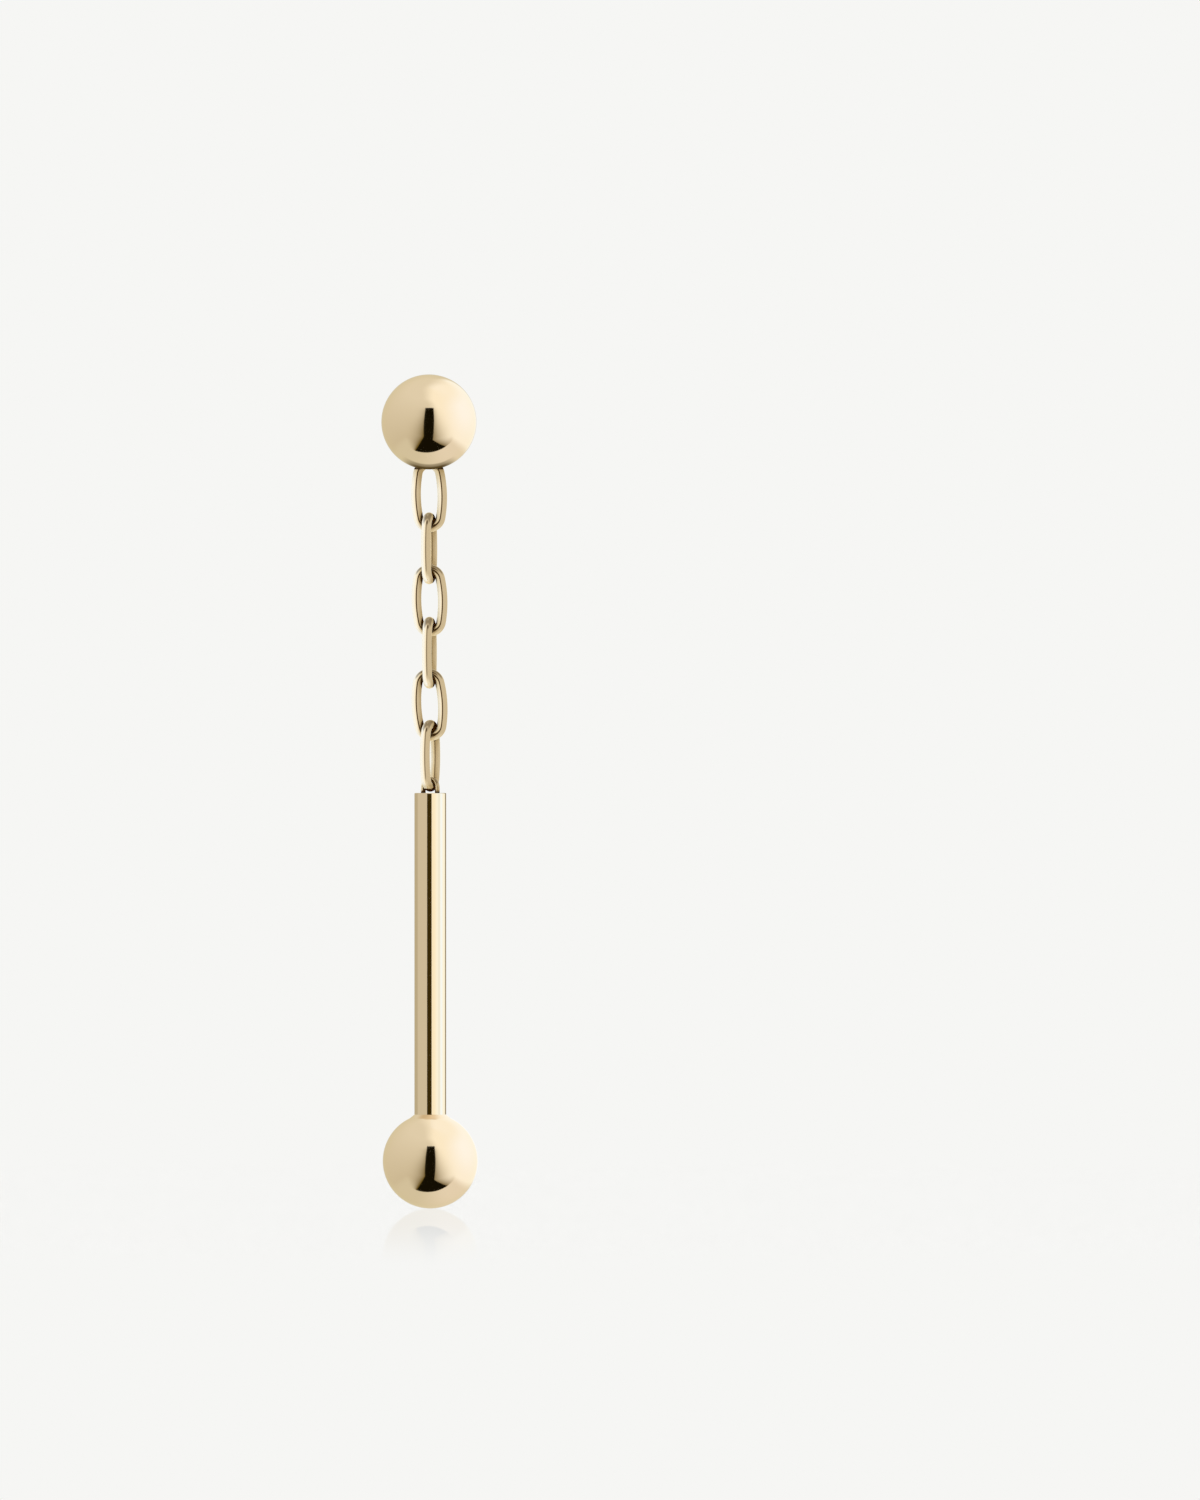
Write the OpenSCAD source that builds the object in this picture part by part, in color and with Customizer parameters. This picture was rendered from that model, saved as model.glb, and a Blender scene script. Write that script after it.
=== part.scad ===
// Bar drop earring: a ball stud on a post, a short cable chain, and a round bar with a ball at its foot.
// Origin at the back of the stud's ball, where its post starts; +Z up, the front towards -Y.

/* [Stud] */
// Diameter of the stud's ball
stud_ball_d = 6; // [4.5:0.5:9]
// Diameter of the ear post
post_d = 0.8; // [0.7:0.05:1.1]
// Length of the post behind the ball
post_len = 10; // [8:0.5:13]
// Diameter of the post's narrower stem inside the ball
stem_d = 0.45; // [0.3:0.05:0.45]
// Depth of the stem's seat in the ball
stem_seat = 1.5; // [1:0.1:1.8]
// Clear length of the loop that is soldered to the ball
loop_open_len = 3.4; // [3:0.1:6]
// How far the loop's opening reaches into the ball
loop_sink = 0.05; // [0.02:0.01:0.1]

/* [Chain] */
// Diameter of the loop's and links' wire
link_wire = 0.6; // [0.4:0.02:0.7]
// Clear length inside a link
link_open_len = 3.34; // [2.8:0.02:6]
// Clear width inside a link, at its middle
link_open_w = 1.05; // [1.05:0.05:1.6]
// How far a link's sides bow out from its ends to its middle
link_bow = 0.12; // [0.04:0.01:0.14]

/* [Bar] */
// Diameter of the bar
bar_d = 2; // [1.8:0.1:3]
// Length of the bar, with the stretch inside the end ball
bar_len = 21.7; // [10:0.1:40]
// Width of the bevel round the bar's top edge
bar_bevel = 0.05; // [0.02:0.01:0.1]
// Diameter of the eye's wire
eye_wire = 0.3; // [0.24:0.02:0.4]
// How deep the eye's legs are let into the bar
eye_root = 0.4; // [0.2:0.1:1]

/* [End ball] */
// Diameter of the end ball
end_ball_d = 6; // [4:0.5:10]
// Depth of the bar's seat in the end ball
bar_seat = 1.5; // [1:0.1:2]

/* [Gaps] */
// Gap between wires that hang in each other
hang_gap = 0.03; // [0.02:0.01:0.05]
// Gap round a piece in its drilled seat
seat_gap = 0.02; // [0.01:0.01:0.04]
// Gap between the last link's foot and the bar's top
bar_gap = 0.08; // [0.04:0.01:0.2]

/* [Hidden] */
$fn = 64;

// How the loop and each link hang. TURN is in degrees about the vertical from facing the front, LEAN is in degrees
// in the link's own plane with its foot towards +X, and SHIFT is sideways, as a share of the play in the link above.
TURN = 0;
LEAN = 1;
SHIFT = 2;
HANG = [
    [0, 1, 0],
    [76, 0, -0.3],
    [0, 1.2, 0],
    [79, 0, -0.5],
    [0, 2.6, -0.6],
    [67, 0, -0.3]
];
LAST = len(HANG) - 1;

stud_r = stud_ball_d / 2;
wire_r = link_wire / 2;
// The wire's centre line: half its width at mid-length, and its radius round each end
rail = (link_open_w + link_wire) / 2;
nose_r = rail - link_bow;
// Distance between the centre lines of two wires that hang in each other, and the sideways play that it leaves
hang_step = link_wire + hang_gap;
play = nose_r - hang_step;
// A link's sides run this far into its end arcs, and are thinner by this much, so that they end inside them
lap = 0.08;
lap_relief = 0.008;

// Half the length of a link's centre line, for a clear length inside it
function half_len(open_len) = (open_len + link_wire) / 2;

// Radius of a link's bowed sides, tangent to its ends
function side_r(half) = (pow(half - nose_r, 2) + pow(rail, 2) - pow(nose_r, 2)) / (2 * link_bow);

// Height of one end arc's crown over the one that it hangs in. Arcs that cross well short of a right angle
// come nearest beside their crowns, and stand further apart there.
function cross_step(angle) =
    let (c = abs(cos(angle)))
    hang_step <= nose_r * (1 - c)
        ? hang_step
        : 2 * nose_r - sqrt((2 * pow(nose_r, 2) * (1 - c) - pow(hang_step, 2)) * (1 + c) / (1 - c));

// Further height of a link that hangs beside the middle of the one above
function shift_step(shift) = play * (1 - sqrt(1 - pow(shift, 2)));

function open_len(i) = i == 0 ? loop_open_len : link_open_len;

// Centres of a link's upper and lower end arcs
function head(i) = i == 0
    ? [0, -stud_r, -stud_r + loop_sink + wire_r - nose_r]
    : foot(i - 1) + [
        HANG[i][SHIFT] * play,
        0,
        cross_step(HANG[i][TURN] - HANG[i - 1][TURN]) + shift_step(HANG[i][SHIFT]) - 2 * nose_r
    ];
function foot(i) = head(i) + 2 * (half_len(open_len(i)) - nose_r) * [
    sin(HANG[i][LEAN]) * cos(HANG[i][TURN]),
    sin(HANG[i][LEAN]) * sin(HANG[i][TURN]),
    -cos(HANG[i][LEAN])
];

// The drop hangs from the lowest point of the last link's centre line
pivot = foot(LAST) - [0, 0, nose_r];
eye_r = wire_r + hang_gap + eye_wire / 2;
bar_top = pivot[2] - wire_r - bar_gap;
bar_foot = bar_top - bar_len;
end_ball_z = bar_foot - seat_gap + bar_seat - end_ball_d / 2;

// Closed wire link in the XY plane, its length along Y: two end arcs and two bowed sides
module wire_link(open_len) {
    half = half_len(open_len);
    bend_r = side_r(half);
    sweep = atan2(half - nose_r, bend_r - rail);
    lapped = sweep + asin(lap / bend_r);
    for (side = [0, 180])
        rotate([0, 0, side]) {
            translate([0, half - nose_r, 0])
                rotate([0, 0, sweep])
                    rotate_extrude(angle = 180 - 2 * sweep)
                        translate([nose_r, 0])
                            circle(d = link_wire);
            translate([rail - bend_r, 0, 0])
                rotate([0, 0, -lapped])
                    rotate_extrude(angle = 2 * lapped)
                        translate([bend_r, 0])
                            circle(d = link_wire - 2 * lap_relief);
        }
}

// Link number i, hung where the table has it
module hung_link(i) {
    translate((head(i) + foot(i)) / 2)
        rotate([0, 0, HANG[i][TURN]])
            rotate([90, -HANG[i][LEAN], 0])
                wire_link(open_len(i));
}

module stud_ball() {
    color("#E3CFA4")
        difference() {
            union() {
                translate([0, -stud_r, 0])
                    sphere(d = stud_ball_d);
                hung_link(0);
            }
            translate([0, -stem_seat, 0])
                rotate([-90, 0, 0])
                    cylinder(d = stem_d + 2 * seat_gap, h = 2 * stem_seat);
        }
}

// The post's shoulder stops at the ball's back, and its tip is round
module ear_post() {
    color("#DCC79A")
        rotate([-90, 0, 0]) {
            translate([0, 0, seat_gap - stem_seat])
                cylinder(d = stem_d, h = stem_seat);
            cylinder(d = post_d, h = post_len - post_d / 2);
            translate([0, 0, post_len - post_d / 2])
                sphere(d = post_d);
        }
}

module chain_link(i) {
    color("#DDC695")
        hung_link(i);
}

module bar() {
    color("#E3CFA4") {
        translate([pivot[0], pivot[1], bar_foot])
            rotate_extrude()
                polygon([
                    [0, 0],
                    [bar_d / 2, 0],
                    [bar_d / 2, bar_len - bar_bevel],
                    [bar_d / 2 - bar_bevel, bar_len],
                    [0, bar_len]
                ]);
        translate(pivot)
            rotate([90, 0, HANG[LAST][TURN] - 90]) {
                rotate_extrude(angle = 180)
                    translate([eye_r, 0])
                        circle(d = eye_wire);
                for (side = [-1, 1])
                    translate([side * eye_r, bar_top - eye_root - pivot[2], 0])
                        rotate([-90, 0, 0])
                            cylinder(d = eye_wire, h = pivot[2] - bar_top + eye_root);
            }
    }
}

module end_ball() {
    color("#E3CFA4")
        translate([pivot[0], pivot[1], end_ball_z])
            difference() {
                sphere(d = end_ball_d);
                translate([0, 0, end_ball_d / 2 - bar_seat])
                    cylinder(d = bar_d + 2 * seat_gap, h = 2 * bar_seat);
            }
}

stud_ball();
ear_post();
chain_link(1);  // chain_link_1
chain_link(2);  // chain_link_2
chain_link(3);  // chain_link_3
chain_link(4);  // chain_link_4
chain_link(5);  // chain_link_5
bar();
end_ball();
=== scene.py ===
# Gold-plated drop earring, hung as it is worn: a ball stud on a post, a short cable chain, and a round bar
# with a ball at its foot. Metres; the origin is the back of the stud's ball, +Z up, the front towards -Y.
from math import atan2, cos, pi, radians, sin, sqrt

import bpy
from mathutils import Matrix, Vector


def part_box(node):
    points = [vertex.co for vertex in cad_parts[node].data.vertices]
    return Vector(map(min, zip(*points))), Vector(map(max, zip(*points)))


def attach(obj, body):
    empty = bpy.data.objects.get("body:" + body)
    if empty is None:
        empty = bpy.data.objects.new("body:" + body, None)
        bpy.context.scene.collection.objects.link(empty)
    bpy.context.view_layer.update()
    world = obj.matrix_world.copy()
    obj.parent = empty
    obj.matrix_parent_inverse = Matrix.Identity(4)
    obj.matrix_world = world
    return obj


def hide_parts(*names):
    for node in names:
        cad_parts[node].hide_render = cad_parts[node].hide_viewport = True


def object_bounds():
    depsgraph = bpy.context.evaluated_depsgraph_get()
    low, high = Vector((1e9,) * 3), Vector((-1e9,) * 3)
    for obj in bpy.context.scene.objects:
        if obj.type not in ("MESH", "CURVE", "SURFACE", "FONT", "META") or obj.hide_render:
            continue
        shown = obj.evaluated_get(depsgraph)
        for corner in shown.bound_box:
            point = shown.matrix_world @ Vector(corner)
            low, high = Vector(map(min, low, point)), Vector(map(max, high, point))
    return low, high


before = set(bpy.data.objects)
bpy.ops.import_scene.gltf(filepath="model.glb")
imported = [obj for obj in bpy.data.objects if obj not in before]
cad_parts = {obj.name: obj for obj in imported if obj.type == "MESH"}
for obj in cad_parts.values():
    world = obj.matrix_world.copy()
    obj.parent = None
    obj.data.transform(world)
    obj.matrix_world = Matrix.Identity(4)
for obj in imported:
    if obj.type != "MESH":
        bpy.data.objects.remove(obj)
cad_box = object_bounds()


# The stud's ball: a solid 6 mm ball, polished to a mirror before and after plating. It is drilled at the
# back for the post's stem, and its poles lie on the post's axis, so that the hole is a clean round one.
MM = 0.001
WELD = 0.001 * MM
BALL_R = 3 * MM
SEAT_DEPTH = 1.5 * MM
STEM_SEAT_R = 0.245 * MM
STEM_SEAT_INSET = 0.06 * MM
PALE_GOLD = (0.93, 0.79, 0.55)
GLANCE = (0.97, 0.94, 0.8)
# Painted shade colours for gold where other metal stands near
NEAR_SHADE_GOLD = (0.66, 0.51, 0.28)
CREVICE_SHADE = (0.06, 0.025, 0.004)
CREVICE_SHADE_GLANCE = (0.15, 0.06, 0.01)
CLOUD_SCALE = 900
CLOUD_DEPTH = 0.002 * MM
HAIRLINE_SCALE = 6000
HAIRLINE_DEPTH = 0.0002 * MM


def start_piece():
    """Leave edit mode and deselect everything, so that a new piece stands alone."""
    if bpy.context.object and bpy.context.object.mode != "OBJECT":
        bpy.ops.object.mode_set(mode="OBJECT")
    bpy.ops.object.select_all(action="DESELECT")


def named(name):
    """Name the piece that was just added, and its mesh."""
    piece = bpy.context.object
    piece.name = name
    piece.data.name = name
    return piece


def open_piece():
    """Go into edit mode with the whole piece selected."""
    bpy.ops.object.mode_set(mode="EDIT")
    bpy.ops.mesh.select_all(action="SELECT")


def pick_edges(piece, test):
    """Select a piece's edges in edit mode, by a test on the place of both their ends."""
    bpy.ops.object.mode_set(mode="EDIT")
    bpy.ops.mesh.select_mode(type="EDGE")
    bpy.ops.mesh.select_all(action="DESELECT")
    bpy.ops.object.mode_set(mode="OBJECT")
    mesh = piece.data
    for edge in mesh.edges:
        edge.select = all(test(mesh.vertices[index].co) for index in edge.vertices)
    bpy.ops.object.mode_set(mode="EDIT")


def draw_out(x, y, z):
    """Extrude what is selected, and move the new part."""
    bpy.ops.mesh.extrude_region_move(TRANSFORM_OT_translate={"value": (x, y, z)})


def put_in_mesh():
    """Move a piece's place, turn and scale from its object into its mesh."""
    bpy.ops.object.transform_apply(location=True, rotation=True, scale=True)


def close_piece(angle=30):
    """Merge doubles, turn the faces outwards, put the place into the mesh and shade it smooth."""
    open_piece()
    bpy.ops.mesh.remove_doubles(threshold=WELD)
    bpy.ops.mesh.normals_make_consistent(inside=False)
    bpy.ops.object.mode_set(mode="OBJECT")
    put_in_mesh()
    bpy.ops.object.shade_smooth_by_angle(angle=radians(angle))


def drilled_ball(name, seat_r, inset):
    """A ball with its middle at the origin and a blind hole drilled down from its upper pole."""
    rim = sqrt(BALL_R ** 2 - seat_r ** 2)
    start_piece()
    bpy.ops.mesh.primitive_uv_sphere_add(segments=128, ring_count=96, radius=BALL_R)
    ball = named(name)
    open_piece()
    bpy.ops.mesh.bisect(plane_co=(0, 0, rim), plane_no=(0, 0, 1), clear_outer=True)
    pick_edges(ball, lambda co: abs(co.z - rim) < WELD)
    draw_out(0, 0, BALL_R - SEAT_DEPTH - rim)
    bpy.ops.mesh.edge_face_add()
    bpy.ops.mesh.inset(thickness=inset)
    bpy.ops.object.mode_set(mode="OBJECT")
    return ball


def feed(tree, socket, value):
    """Give a socket a colour, a number or another node's result."""
    if isinstance(value, tuple):
        socket.default_value = (*value, 1)
    elif isinstance(value, (int, float)):
        socket.default_value = value
    else:
        tree.links.new(value, socket)


def sums(tree, operation, *values):
    """A Math node."""
    node = tree.nodes.new("ShaderNodeMath")
    node.operation = operation
    for socket, value in zip(node.inputs, values):
        feed(tree, socket, value)
    return node.outputs[0]


def ease(tree, value, low, high, at_low=0, at_high=1, straight=False):
    """A step between two levels as a value goes from low to high, soft at both ends unless straight."""
    node = tree.nodes.new("ShaderNodeMapRange")
    if not straight:
        node.interpolation_type = "SMOOTHSTEP"
    feed(tree, node.inputs["Value"], value)
    feed(tree, node.inputs["From Min"], low)
    feed(tree, node.inputs["From Max"], high)
    feed(tree, node.inputs["To Min"], at_low)
    feed(tree, node.inputs["To Max"], at_high)
    return node.outputs["Result"]


def blend(tree, share, first, second):
    """A mix of two colours."""
    node = tree.nodes.new("ShaderNodeMix")
    node.data_type = "RGBA"
    feed(tree, node.inputs[0], share)
    feed(tree, node.inputs[6], first)
    feed(tree, node.inputs[7], second)
    return node.outputs[2]


def clouds(tree, place, scale, detail):
    """Soft random clouds."""
    node = tree.nodes.new("ShaderNodeTexNoise")
    node.inputs["Scale"].default_value = scale
    node.inputs["Detail"].default_value = detail
    tree.links.new(place, node.inputs["Vector"])
    return node.outputs["Fac"]


def bump(tree, height, depth):
    """Relief of a given depth."""
    node = tree.nodes.new("ShaderNodeBump")
    node.inputs["Strength"].default_value = 1
    node.inputs["Distance"].default_value = depth
    tree.links.new(height, node.inputs["Height"])
    return node


def openness(tree, reach, samples):
    """1 on open metal, and less where other metal stands within reach."""
    node = tree.nodes.new("ShaderNodeAmbientOcclusion")
    node.samples = samples
    node.inputs["Distance"].default_value = reach
    return node.outputs["AO"]


def gold(name, colour, polish, streak=(1, 1, 1), crevice=0):
    """Plated gold: a mirror polish with faint clouds, hairline polishing marks and a soft unevenness. With a
    crevice distance, painted shade darkens it towards a duller gold where other metal is near and towards a
    dark tone where that is nearer, and the roughness rises there."""
    material = bpy.data.materials.new(name)
    material.use_nodes = True
    tree = material.node_tree
    metal = tree.nodes["Principled BSDF"]
    metal.inputs["Metallic"].default_value = 1
    metal.inputs["Base Color"].default_value = (*colour, 1)
    metal.inputs["Specular Tint"].default_value = (*GLANCE, 1)
    place = tree.nodes.new("ShaderNodeTexCoord")
    grain = tree.nodes.new("ShaderNodeMapping")
    grain.inputs["Scale"].default_value = streak
    tree.links.new(place.outputs["Object"], grain.inputs["Vector"])
    cloud = clouds(tree, place.outputs["Object"], CLOUD_SCALE, 3)
    marks = clouds(tree, grain.outputs["Vector"], HAIRLINE_SCALE, 2)
    sheen = ease(tree, cloud, 0.3, 0.7, polish * 0.8, polish * 1.3, straight=True)
    tree.links.new(sheen, metal.inputs["Roughness"])
    fine = bump(tree, marks, HAIRLINE_DEPTH)
    wave = bump(tree, cloud, CLOUD_DEPTH)
    tree.links.new(fine.outputs["Normal"], wave.inputs["Normal"])
    tree.links.new(wave.outputs["Normal"], metal.inputs["Normal"])
    # Painted shade: where other metal is near, ambient occlusion darkens the colour and edge tint towards a
    # duller gold and then a dark tone, and raises the roughness
    if crevice:
        crevice_shade = ease(tree, openness(tree, crevice, 32), 0.84, 0.6)
        near_shade = ease(tree, openness(tree, 4 * crevice, 64), 0.98, 0.76, straight=True)
        plate = blend(tree, near_shade, colour, NEAR_SHADE_GOLD)
        tree.links.new(blend(tree, crevice_shade, plate, CREVICE_SHADE), metal.inputs["Base Color"])
        tree.links.new(blend(tree, crevice_shade, GLANCE, CREVICE_SHADE_GLANCE), metal.inputs["Specular Tint"])
        tree.links.new(sums(tree, "MULTIPLY_ADD", crevice_shade, 0.6, sheen), metal.inputs["Roughness"])
    return material


polished_gold = gold("polished_gold_plate", PALE_GOLD, 0.06)
ball_top = drilled_ball("ball_top", STEM_SEAT_R, STEM_SEAT_INSET)
ball_top.rotation_euler = (-pi / 2, 0, 0)
ball_top.location = (0, -BALL_R, 0)
close_piece()
ball_top.data.materials.append(polished_gold)
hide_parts("stud_ball")
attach(ball_top, "stud")


# The post: straight plated wire, 0.8 mm thick, with a narrower stem soldered into the ball's drilled hole
# and a round tip that finds the lobe. It stands behind the ball, so it is plain.
POST_R = 0.4 * MM
POST_LEN = 10 * MM
STEM_R = 0.225 * MM
STEM_GAP = 0.02 * MM
TIP_RINGS = 10
post_gold = gold("post_gold_plate", (0.9, 0.77, 0.53), 0.12, (1, 0.06, 1))


def round_start(name, vertices, radius, place=(0, 0, 0), turn=(0, 0, 0), fill="NGON"):
    """A circle to draw a piece out of, open in edit mode and selected all over."""
    start_piece()
    bpy.ops.mesh.primitive_circle_add(
        vertices=vertices, radius=radius, fill_type=fill, location=place, rotation=turn)
    piece = named(name)
    put_in_mesh()
    open_piece()
    return piece


post = round_start("post_wire", 48, STEM_R, turn=(pi / 2, 0, 0))
bpy.ops.transform.translate(value=(0, STEM_GAP - SEAT_DEPTH, 0))
draw_out(0, SEAT_DEPTH - STEM_GAP, 0)
bpy.ops.mesh.extrude_region_move()
bpy.ops.transform.resize(value=(POST_R / STEM_R, 1, POST_R / STEM_R), center_override=(0, 0, 0))
draw_out(0, POST_LEN - POST_R, 0)
for ring in range(1, TIP_RINGS):
    before = pi / 2 * (ring - 1) / TIP_RINGS
    after = pi / 2 * ring / TIP_RINGS
    draw_out(0, POST_R * (sin(after) - sin(before)), 0)
    shrink = cos(after) / cos(before)
    bpy.ops.transform.resize(value=(shrink, 1, shrink), center_override=(0, 0, 0))
draw_out(0, POST_R * (1 - sin(after)), 0)
bpy.ops.mesh.merge(type="CENTER")
close_piece()
post.data.materials.append(post_gold)
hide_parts("ear_post")
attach(post, "stud")


# The chain: bright 0.6 mm drawn wire, bent to ovals with slightly bowed sides and closed by a soldered joint
# that is polished away. The first loop is soldered under the stud's ball, and the other five hang in each
# other, each turned about the vertical from the one above.
WIRE_R = 0.3 * MM
RAIL = 0.825 * MM
NOSE_R = 0.705 * MM
BOW = RAIL - NOSE_R
LOOP_HALF = 2 * MM
LOOP_X = 0.0226 * MM
LINK_HALF = 1.97 * MM
# Degrees turned about the vertical, and degrees of lean to the side, of the loop and of each link
LOOP_HANG = (0, 1)
LINK_HANG = ((76, 0), (0, 1.2), (79, 0), (0, 2.6), (67, 0))
NOSE_STEPS = 40
SIDE_STEPS = 24
# Painted shade darkens the chain's gold where links and the eye come near each other
chain_gold = gold("chain_gold_plate", PALE_GOLD, 0.03, crevice=0.35 * MM)


def wire_link(name, half):
    """One closed link, flat in XY with its length along Y: a ring of wire spun round its ends and sides."""
    bend_r = ((half - NOSE_R) ** 2 + RAIL ** 2 - NOSE_R ** 2) / (2 * BOW)
    sweep = atan2(half - NOSE_R, bend_r - RAIL)
    start = (NOSE_R * cos(sweep), half - NOSE_R + NOSE_R * sin(sweep), 0)
    link = round_start(name, 40, WIRE_R, start, (pi / 2, 0, sweep), "NOTHING")
    for centre, angle, steps in (
        ((0, half - NOSE_R, 0), pi - 2 * sweep, NOSE_STEPS),
        ((bend_r - RAIL, 0, 0), 2 * sweep, SIDE_STEPS),
        ((0, NOSE_R - half, 0), pi - 2 * sweep, NOSE_STEPS),
        ((RAIL - bend_r, 0, 0), 2 * sweep, SIDE_STEPS),
    ):
        bpy.ops.mesh.spin(steps=steps, angle=angle, center=centre, axis=(0, 0, -1))
    close_piece(60)
    link.data.materials.append(chain_gold)
    return link


def hang(link, centre, turn, lean):
    """Hang a flat link by its centre, turned about the vertical and leaning in its own plane, in degrees."""
    start_piece()
    link.select_set(True)
    bpy.context.view_layer.objects.active = link
    link.rotation_euler = (pi / 2, -radians(lean), radians(turn))
    link.location = centre
    put_in_mesh()


loop_top = wire_link("loop_top", LOOP_HALF)
loop_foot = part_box("stud_ball")[0][2]
hang(loop_top, (LOOP_X, -BALL_R, loop_foot + LOOP_HALF + WIRE_R), *LOOP_HANG)
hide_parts("stud_ball")
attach(loop_top, "stud")

first_link = wire_link("link", LINK_HALF)
chain = [loop_top]
for number, (turn, lean) in enumerate(LINK_HANG, start=1):
    link = first_link
    if number < len(LINK_HANG):
        link = first_link.copy()
        link.data = first_link.data.copy()
        bpy.context.collection.objects.link(link)
    link.name = f"link_{number}"
    link.data.name = link.name
    link_low, link_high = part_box(f"chain_link_{number}")
    hang(link, (Vector(link_low) + Vector(link_high)) / 2, turn, lean)
    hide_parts(f"chain_link_{number}")
    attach(link, "stud")
    chain.append(link)


# The bar: 2 mm round rod, polished along its length, with a crisp broken edge at the top. Its foot stands in
# the end ball's drilled seat, on the ball's own axis.
end_low, end_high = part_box("end_ball")
AXIS_X = (end_low[0] + end_high[0]) / 2
AXIS_Y = (end_low[1] + end_high[1]) / 2
BAR_R = 1 * MM
BAR_EDGE = 0.05 * MM
BAR_TOP = -23.4123 * MM
BAR_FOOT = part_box("bar")[0][2]
rod_gold = gold("drawn_gold_plate", PALE_GOLD, 0.06, (1, 1, 0.02))

rod = round_start("rod", 128, BAR_R, (AXIS_X, AXIS_Y, BAR_FOOT))
draw_out(0, 0, BAR_TOP - BAR_FOOT)
pick_edges(rod, lambda co: co.z > BAR_TOP - WELD)
bpy.ops.mesh.bevel(offset=BAR_EDGE, segments=4, affect="EDGES")
close_piece(40)
rod.data.materials.append(rod_gold)
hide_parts("bar")
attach(rod, "drop")


# The eye: an arch of 0.3 mm drawn wire, passed through the last link. Its two legs are let into the bar's
# top and soldered there, and its plane stands across the link's wire.
EYE_WIRE_R = 0.15 * MM
EYE_R = 0.48 * MM
EYE_Z = -23.0323 * MM
EYE_ROOT = 0.4 * MM
EYE_TURN = -23
EYE_LEG = EYE_Z + EYE_ROOT - BAR_TOP

rod_eye = round_start("rod_eye", 32, EYE_WIRE_R, (EYE_R, 0, -EYE_LEG))
draw_out(0, 0, EYE_LEG)
bpy.ops.mesh.delete(type="ONLY_FACE")
pick_edges(rod_eye, lambda co: abs(co.z) < WELD)
bpy.ops.mesh.spin(steps=48, angle=pi, center=(0, 0, 0), axis=(0, 1, 0))
draw_out(0, 0, -EYE_LEG)
bpy.ops.mesh.edge_face_add()
bpy.ops.object.mode_set(mode="OBJECT")
rod_eye.rotation_euler = (0, 0, radians(EYE_TURN))
rod_eye.location = (AXIS_X, AXIS_Y, EYE_Z)
close_piece()
rod_eye.data.materials.append(chain_gold)
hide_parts("bar")
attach(rod_eye, "drop")


# The ball at the foot: the same solid 6 mm ball as the stud's, polished and plated in the same way, and
# drilled at the top for the bar. Its poles lie on the bar's axis.
BAR_SEAT_R = 1.02 * MM
BAR_SEAT_INSET = 0.2 * MM
FOOT_BALL_Z = end_low[2] + BALL_R

ball_foot = drilled_ball("ball_foot", BAR_SEAT_R, BAR_SEAT_INSET)
ball_foot.location = (AXIS_X, AXIS_Y, FOOT_BALL_Z)
close_piece()
ball_foot.data.materials.append(polished_gold)
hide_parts("end_ball")
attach(ball_foot, "drop")


# The solder that holds the bar in the end ball: a low hollow cone round the bar's foot, a tenth of a
# millimetre high. It is polished and plated with the ball, and has a spot of painted shade at the front, by
# the bar's foot.
SOLDER_RISE = 0.11 * MM
SOLDER_R = 1.32 * MM
SOLDER_STEPS = 6
SOLDER_SINK = 0.02 * MM
SOLDER_FOOT = sqrt(BALL_R ** 2 - SOLDER_R ** 2)
SOLDER_SHADE_BROWN = (0.76, 0.55, 0.3)

foot_solder = round_start("foot_solder", 128, SOLDER_R, (0, 0, SOLDER_FOOT), fill="NOTHING")
rings = []
for step in range(1, SOLDER_STEPS + 1):
    share = step / SOLDER_STEPS
    radius = SOLDER_R + (BAR_R - SOLDER_R) * share
    rings.append((radius, sqrt(BALL_R ** 2 - radius ** 2) + SOLDER_RISE * share ** 1.5))
rings.append((BAR_R - SOLDER_SINK, rings[-1][1]))
rings.append((BAR_R - SOLDER_SINK, SOLDER_FOOT - SOLDER_SINK))
rings.append((SOLDER_R, SOLDER_FOOT - SOLDER_SINK))
radius, height = SOLDER_R, SOLDER_FOOT
for next_radius, next_height in rings:
    draw_out(0, 0, next_height - height)
    widen = next_radius / radius
    bpy.ops.transform.resize(value=(widen, widen, 1), center_override=(0, 0, 0))
    radius, height = next_radius, next_height
pick_edges(foot_solder, lambda co: abs(co.xy.length - SOLDER_R) < WELD)
bpy.ops.mesh.bridge_edge_loops()
bpy.ops.object.mode_set(mode="OBJECT")
foot_solder.location = (AXIS_X, AXIS_Y, FOOT_BALL_Z)
close_piece(50)
solder_gold = gold("solder_gold_plate", PALE_GOLD, 0.12)
# Painted shade: the gold turns brown towards a spot at the front of the ball's top, where the bar stands
tree = solder_gold.node_tree
place = tree.nodes.new("ShaderNodeTexCoord")
front_shade_spot = tree.nodes.new("ShaderNodeVectorMath")
front_shade_spot.operation = "DISTANCE"
front_shade_spot.inputs[1].default_value = (AXIS_X - 0.12 * MM, AXIS_Y - 1.2 * MM, FOOT_BALL_Z + BALL_R - 0.2 * MM)
tree.links.new(place.outputs["Object"], front_shade_spot.inputs[0])
front_shade = ease(tree, front_shade_spot.outputs["Value"], 0.9 * MM, 0.3 * MM)
brown = blend(tree, front_shade, PALE_GOLD, SOLDER_SHADE_BROWN)
tree.links.new(brown, tree.nodes["Principled BSDF"].inputs["Base Color"])
foot_solder.data.materials.append(solder_gold)
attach(foot_solder, "drop")

# The chain, the eye, the bar, the post and the stud's ball keep out of every mirror, so that the polished
# metal shows the studio alone. The lower ball and its solder stay in, for the floor to reflect them.
for piece in (*chain, rod_eye, rod, ball_top, post):
    piece.visible_glossy = False


# The lens: a long one, a metre in front of the earring and level with it, set up so that it sees a height of
# 94.65 mm round the piece. Colours are shown as they are made, without a film look.
LENS_DISTANCE = 1.0
LENS_X = 10.797 * MM
LENS_Z = -20.70 * MM
VIEW_HEIGHT = 94.65 * MM
SENSOR_HEIGHT = 36

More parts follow.
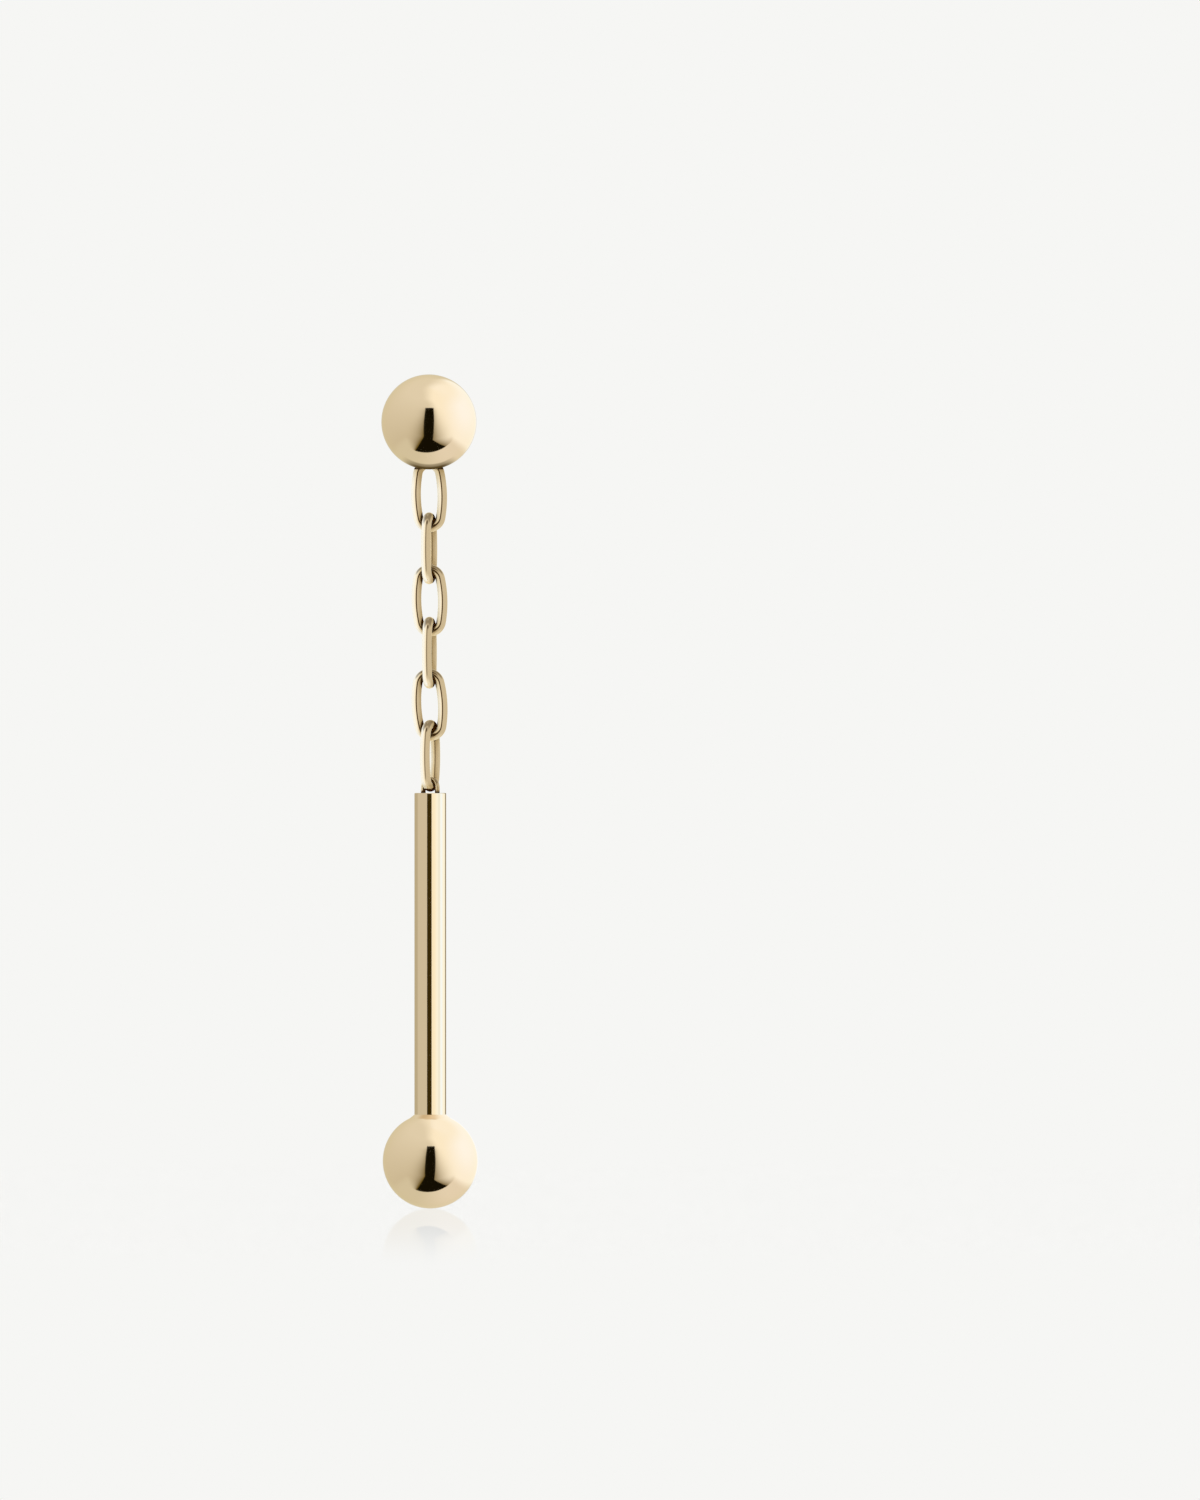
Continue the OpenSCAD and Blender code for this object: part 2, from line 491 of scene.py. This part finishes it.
scene = bpy.context.scene
scene.view_settings.view_transform = "Standard"
bpy.ops.object.camera_add(location=(LENS_X, -BALL_R - LENS_DISTANCE, LENS_Z), rotation=(pi / 2, 0, 0))
camera = bpy.context.object
camera.data.sensor_fit = "VERTICAL"
camera.data.sensor_height = SENSOR_HEIGHT
camera.data.lens = SENSOR_HEIGHT * LENS_DISTANCE / VIEW_HEIGHT
camera.data.clip_start = 0.01
scene.camera = camera


# The balls' light cards: a tan one on the left and a cream one on the right stand round them over a pale
# floor, and meet at a dark gap for the lens, with a soft shade beside it. Each kind of piece has a great
# shell of cards of its own, which nothing else mirrors.
SHELL_Z = -20 * MM
TAN_LOW = (0.655, 0.61, 0.53)
TAN_HIGH = (0.80, 0.765, 0.72)
CREAM = (1.05, 1.02, 1.0)
CREAM_WHITE = (1.08, 1.14, 1.36)
FLOOR_LEFT = (0.70, 0.667, 0.588)
FLOOR_RIGHT = (0.83, 0.78, 0.75)
GAP_SHADE = (0.17, 0.12, 0.03)
UNDER_SHADE = (0.08, 0.05, 0.01)
OVER_SHADE = (0.68, 0.56, 0.41)
GAP_BLACK = (0.0075, 0.0056, 0.0016)


def product(tree, *values):
    """Several shares multiplied."""
    result = values[0]
    for value in values[1:]:
        result = sums(tree, "MULTIPLY", result, value)
    return result


def light_shell(name, radius, lit):
    """A great shell of light that only some pieces mirror: its node tree and its colour socket."""
    start_piece()
    bpy.ops.mesh.primitive_uv_sphere_add(
        segments=32, ring_count=16, radius=radius, location=(0, 0, SHELL_Z))
    walls = named(name)
    walls.visible_camera = False
    walls.visible_shadow = False
    group = bpy.data.collections.new(name + "_receivers")
    for piece in lit:
        group.objects.link(piece)
    walls.light_linking.receiver_collection = group
    material = bpy.data.materials.new(name)
    material.use_nodes = True
    material.cycles.emission_sampling = "NONE"
    walls.data.materials.append(material)
    tree = material.node_tree
    tree.nodes.clear()
    clear = tree.nodes.new("ShaderNodeBsdfTransparent")
    glow = tree.nodes.new("ShaderNodeEmission")
    both = tree.nodes.new("ShaderNodeAddShader")
    output = tree.nodes.new("ShaderNodeOutputMaterial")
    tree.links.new(clear.outputs[0], both.inputs[0])
    tree.links.new(glow.outputs[0], both.inputs[1])
    tree.links.new(both.outputs[0], output.inputs["Surface"])
    return tree, glow.inputs["Color"]


def ways(tree):
    """Where a card stands, seen from the middle of the shell: its x, y and z on a shell of radius 1, and the
    degrees that it is turned to the right of the front and raised above level."""
    place = tree.nodes.new("ShaderNodeTexCoord")
    unit = tree.nodes.new("ShaderNodeVectorMath")
    unit.operation = "NORMALIZE"
    tree.links.new(place.outputs["Object"], unit.inputs[0])
    split = tree.nodes.new("ShaderNodeSeparateXYZ")
    tree.links.new(unit.outputs[0], split.inputs[0])
    x, y, z = split.outputs
    turned = product(tree, sums(tree, "ARCTAN2", x, product(tree, y, -1)), 180 / pi)
    raised = product(tree, sums(tree, "ARCSINE", z), 180 / pi)
    return x, y, z, turned, raised


def ball_walls(name, radius, lit, gap_top, beneath):
    """The balls' cards. The gap's top is in degrees above level, and beneath is true for the ball that the
    chain hangs under."""
    tree, colour = light_shell(name, radius, lit)
    x, y, z, turned, raised = ways(tree)
    down = sums(tree, "MAXIMUM", product(tree, z, -1), 0.01)
    front = sums(tree, "MAXIMUM", product(tree, y, -1), 0.02)
    away = sums(tree, "ABSOLUTE", x)
    aside = sums(tree, "DIVIDE", x, front)
    steep = sums(tree, "DIVIDE", down, front)

    # The tan and the cream card, and the soft join between them
    tan_card = blend(tree, ease(tree, raised, -30, 55, straight=True), TAN_LOW, TAN_HIGH)
    whiter = product(tree, ease(tree, turned, 25, 100), ease(tree, raised, -35, 15, 0.35, 1))
    whiter = product(tree, whiter, ease(tree, raised, 25, 55, 1, 0.25))
    cream_card = blend(tree, whiter, CREAM, CREAM_WHITE)
    join_behind = ease(tree, y, -0.1, 0.5, 0, 0.23 if beneath else -0.06)
    middle = sums(tree, "ADD", ease(tree, y, -0.8, -0.5, 0.15, -0.05), join_behind)
    join_left = ease(tree, y, 0.5, 0.8, -0.2, -0.05)
    join_right = ease(tree, y, 0.5, 0.8, 0.25, 0.08)
    join = ease(tree, sums(tree, "SUBTRACT", x, middle), join_left, join_right)
    cards = blend(tree, join, tan_card, cream_card)

    # The pale floor
    floor_side = sums(tree, "DIVIDE", away, down)
    floor_front = sums(tree, "DIVIDE", product(tree, y, -1), down)
    beyond = sums(tree, "MAXIMUM", ease(tree, floor_side, 1.0, 1.75), ease(tree, floor_front, 0.3, 0.8))
    beyond = sums(tree, "MAXIMUM", beyond, ease(tree, z, -0.12, -0.02))
    floor_card = blend(tree, ease(tree, x, -0.4, 0.5), FLOOR_LEFT, FLOOR_RIGHT)
    cards = blend(tree, beyond, floor_card, cards)

    # The soft shade on both sides of the gap, which ends at the gap's foot on the floor
    left_lean = sums(tree, "TANGENT", sums(tree, "MULTIPLY_ADD", raised, radians(0.076), radians(-11.4)))
    left_edge = sums(tree, "MINIMUM", left_lean, sums(tree, "MULTIPLY_ADD", steep, -0.49, 0.12))
    right_edge = sums(tree, "MAXIMUM", sums(tree, "MULTIPLY_ADD", steep, 0.86, -0.647), 0.235)
    past_left = sums(tree, "SUBTRACT", left_edge, aside)
    past_right = sums(tree, "SUBTRACT", aside, right_edge)
    left_wide = ease(tree, raised, -47, 15, 0.46, 0.15, straight=True)
    right_wide = product(tree, sums(tree, "EXPONENT", product(tree, raised, -0.0285)), 0.27)
    off_left = sums(tree, "DIVIDE", sums(tree, "MAXIMUM", past_left, 0), left_wide)
    off_right = sums(tree, "DIVIDE", sums(tree, "MAXIMUM", past_right, 0), right_wide)
    fall = sums(tree, "EXPONENT", product(tree, sums(tree, "ADD", off_left, off_right), -1))
    left_depth = sums(tree, "MULTIPLY_ADD", raised, -0.0094, 0.66)
    right_depth = sums(tree, "MULTIPLY_ADD", raised, -0.0063, 0.59)
    on_right = ease(tree, aside, -0.05, 0.05)
    on_left = sums(tree, "SUBTRACT", 1, on_right)
    depth = sums(tree, "ADD", product(tree, left_depth, on_left), product(tree, right_depth, on_right))
    behind = sums(tree, "DIVIDE", sums(tree, "MULTIPLY_ADD", x, 0.12, y), down)
    behind = sums(tree, "ADD", behind, 0.165 if beneath else 0.185)
    on_floor = ease(tree, behind, -0.02, 0.02, 1, 0)
    shade = product(tree, depth, fall, on_floor, ease(tree, raised, 24, 38, 1, 0))
    cards = blend(tree, sums(tree, "MINIMUM", shade, 1), cards, GAP_SHADE)

    # The shade where the loop hangs under the upper ball, or where the bar stands on the lower one
    if beneath:
        under = sums(tree, "ADD", ease(tree, y, 0.54, 0.68, 0, 0.6), ease(tree, y, 0.7, 0.9, 0, 0.38))
        under = product(tree, under, ease(tree, floor_side, 0.25, 0.85, 1, 0))
        under = product(tree, under, ease(tree, z, -0.15, -0.05, 1, 0))
        cards = blend(tree, under, cards, UNDER_SHADE)
    else:
        over = product(tree, ease(tree, y, 0.5, 0.62), ease(tree, away, 0.06, 0.16, 1, 0))
        over = product(tree, over, ease(tree, z, 0.2, 0.4))
        cards = blend(tree, over, cards, OVER_SHADE)

    # The dark gap itself
    inside_left = ease(tree, past_left, -0.02, 0.02, 1, 0)
    inside_right = ease(tree, past_right, -0.02, 0.02, 1, 0)
    gap = product(tree, inside_left, inside_right, on_floor, ease(tree, raised, gap_top, gap_top + 1, 1, 0))
    tree.links.new(blend(tree, gap, cards, GAP_BLACK), colour)


ball_walls("top_ball_cards", 3, [ball_top, post], 33, True)
ball_walls("foot_ball_cards", 3.2, [ball_foot, foot_solder], 36.5, False)


# The bar's light cards: the same tan and cream with a narrower gap that has hard edges, as a straight rod
# draws them out into lines, and a white strip far to the right.
BAR_TAN_BEHIND = (0.53, 0.49, 0.42)
BAR_TAN = (0.66, 0.62, 0.56)
BAR_CREAM = (1.04, 1.0, 0.92)
BAR_CREAM_RIGHT = (1.066, 1.134, 1.247)
BAR_DIP = (0.95, 1.02, 1.13)
BAR_BEHIND = (0.3, 0.26, 0.2)
BAR_STRIP = (1.01, 1.19, 1.57)
BAR_BLACK = (0.042, 0.027, 0.004)

tree, colour = light_shell("bar_cards", 3.4, [rod])
x, _, _, turned, raised = ways(tree)
tan_card = blend(tree, ease(tree, turned, -112, -96), BAR_TAN_BEHIND, BAR_TAN)
cream_card = blend(tree, ease(tree, turned, 20, 60), BAR_CREAM, BAR_CREAM_RIGHT)
dip = product(tree, ease(tree, turned, 52, 64), ease(tree, turned, 74, 80, 1, 0))
cream_card = blend(tree, dip, cream_card, BAR_DIP)
cream_card = blend(tree, ease(tree, turned, 130, 145), cream_card, BAR_BEHIND)
cards = blend(tree, ease(tree, x, -0.25, 0.1), tan_card, cream_card)
strip = product(tree, ease(tree, turned, 77, 82), ease(tree, turned, 92, 110, 1, 0))
cards = blend(tree, strip, cards, BAR_STRIP)
gap = product(tree, ease(tree, turned, -24, -21.5), ease(tree, turned, 9, 12, 1, 0))
gap = product(tree, gap, ease(tree, raised, 25, 35, 1, 0))
tree.links.new(blend(tree, gap, cards, BAR_BLACK), colour)


# The chain's light cards: white on the left, tan on the right, a pale floor, and dark above and at the lens.
# The links that face the lens mirror its dark line fully, and those that hang edge-on, and the eye, less.
CHAIN_FLOOR = (0.937, 0.933, 0.904)
CHAIN_TAN = (0.656, 0.606, 0.522)
CHAIN_WHITE_SIDE = (1.05, 1.18, 1.48)
CHAIN_WHITE = (1.06, 1.07, 1.08)
CHAIN_BEHIND = (1.0, 0.97, 0.9)
CHAIN_DARK = (0.06, 0.03, 0.005)


def chain_walls(name, radius, lit, line_depth):
    """The chain's cards, with the lens's dark line as deep as asked."""
    tree, colour = light_shell(name, radius, lit)
    _, y, z, turned, raised = ways(tree)
    low_card = blend(tree, ease(tree, raised, -75, -25), CHAIN_FLOOR, CHAIN_TAN)
    white_card = blend(tree, ease(tree, turned, -100, -30), CHAIN_WHITE_SIDE, CHAIN_WHITE)
    left = product(tree, ease(tree, turned, -32, -22, 1, 0), ease(tree, raised, 42, 62, 1, 0))
    cards = blend(tree, left, low_card, white_card)
    behind = ease(tree, sums(tree, "ABSOLUTE", turned), 145, 165)
    cards = blend(tree, behind, cards, CHAIN_BEHIND)
    patch_side = sums(tree, "DIVIDE", sums(tree, "SUBTRACT", turned, 14), 34)
    patch_up = sums(tree, "DIVIDE", sums(tree, "SUBTRACT", raised, 42), 24)
    patch = sums(tree, "ADD", product(tree, patch_side, patch_side), product(tree, patch_up, patch_up))
    patch = product(tree, ease(tree, sums(tree, "SQRT", patch), 0.35, 1.1, 1, 0), 0.92)
    line = product(tree, ease(tree, turned, -23, -17), ease(tree, turned, 3, 9, 1, 0))
    line = product(tree, line, ease(tree, raised, -30, -15), ease(tree, raised, 30, 50, 1, 0))
    line = product(tree, line, line_depth)
    above = product(tree, ease(tree, z, 0.3, 0.6), ease(tree, y, -0.6, -0.15), 0.6)
    dark = sums(tree, "MAXIMUM", sums(tree, "MAXIMUM", patch, line), above)
    tree.links.new(blend(tree, dark, cards, CHAIN_DARK), colour)


chain_walls("facing_link_cards", 3.6, chain[0::2], 0.98)
chain_walls("edge_link_cards", 3.7, [*chain[1::2], rod_eye], 0.6)


# The sweep: plain pale paper that the lens sees as one even tone. Its floor passes just under the lower ball
# and holds a faint reflection of it, which fades within 12 cm.
BACKDROP = (0.9216, 0.9216, 0.9046)
FLOOR_GLOSS = 0.185


def above_only(tree, shader):
    """Let a flat piece be seen from its upper side alone."""
    clear = tree.nodes.new("ShaderNodeBsdfTransparent")
    side = tree.nodes.new("ShaderNodeMixShader")
    geometry = tree.nodes.new("ShaderNodeNewGeometry")
    output = tree.nodes.new("ShaderNodeOutputMaterial")
    tree.links.new(geometry.outputs["Backfacing"], side.inputs[0])
    tree.links.new(shader.outputs[0], side.inputs[1])
    tree.links.new(clear.outputs[0], side.inputs[2])
    tree.links.new(side.outputs[0], output.inputs["Surface"])


start_piece()
bpy.ops.mesh.primitive_plane_add(size=8, location=(0, 0, cad_box[0][2]))
floor = named("floor")
floor.visible_glossy = False
floor.visible_diffuse = False
paper = bpy.data.materials.new("pale_sweep")
paper.use_nodes = True
floor.data.materials.append(paper)
tree = paper.node_tree
tree.nodes.clear()
place = tree.nodes.new("ShaderNodeTexCoord")
length = tree.nodes.new("ShaderNodeVectorMath")
length.operation = "LENGTH"
tree.links.new(place.outputs["Object"], length.inputs[0])
fade = ease(tree, length.outputs["Value"], 0.02, 0.12, FLOOR_GLOSS, 0)
glow = tree.nodes.new("ShaderNodeEmission")
glow.inputs["Color"].default_value = (*BACKDROP, 1)
gloss = tree.nodes.new("ShaderNodeBsdfGlossy")
gloss.inputs["Color"].default_value = (1, 1, 1, 1)
gloss.inputs["Roughness"].default_value = 0
mix = tree.nodes.new("ShaderNodeMixShader")
tree.links.new(fade, mix.inputs[0])
tree.links.new(glow.outputs[0], mix.inputs[1])
tree.links.new(gloss.outputs[0], mix.inputs[2])
above_only(tree, mix)

tree, colour = light_shell("sweep_light", 3.8, [floor])
colour.default_value = (*BACKDROP, 1)
world = bpy.data.worlds.new("studio")
scene.world = world
world.use_nodes = True
tree = world.node_tree
path = tree.nodes.new("ShaderNodeLightPath")
seen = blend(tree, path.outputs["Is Camera Ray"], (0, 0, 0), BACKDROP)
tree.links.new(seen, tree.nodes["Background"].inputs["Color"])


# The flag: a small disc under the stud's ball, smaller than a pinhead and never seen by the lens. It glows
# with the floor's tone, a painted reflection of the floor put over the lower ball's image in the upper
# ball's mirror.
FLAG_R = 0.35 * MM
FLAG_X = 0.03 * MM
FLAG_FORWARD = 2.02 * MM
FLAG_Z = -4 * MM
FLAG_REFLECTION_TONE = (0.754, 0.714, 0.655)

start_piece()
bpy.ops.mesh.primitive_circle_add(
    vertices=32, radius=FLAG_R, fill_type="NGON", location=(FLAG_X, -BALL_R - FLAG_FORWARD, FLAG_Z))
flag = named("flag")
flag.visible_camera = False
flag.visible_shadow = False
flag_glow = bpy.data.materials.new("flag")
flag_glow.use_nodes = True
flag.data.materials.append(flag_glow)
tree = flag_glow.node_tree
tree.nodes.clear()
# Painted reflection: the disc glows with the floor's tone
glow = tree.nodes.new("ShaderNodeEmission")
glow.inputs["Color"].default_value = (*FLAG_REFLECTION_TONE, 1)
above_only(tree, glow)
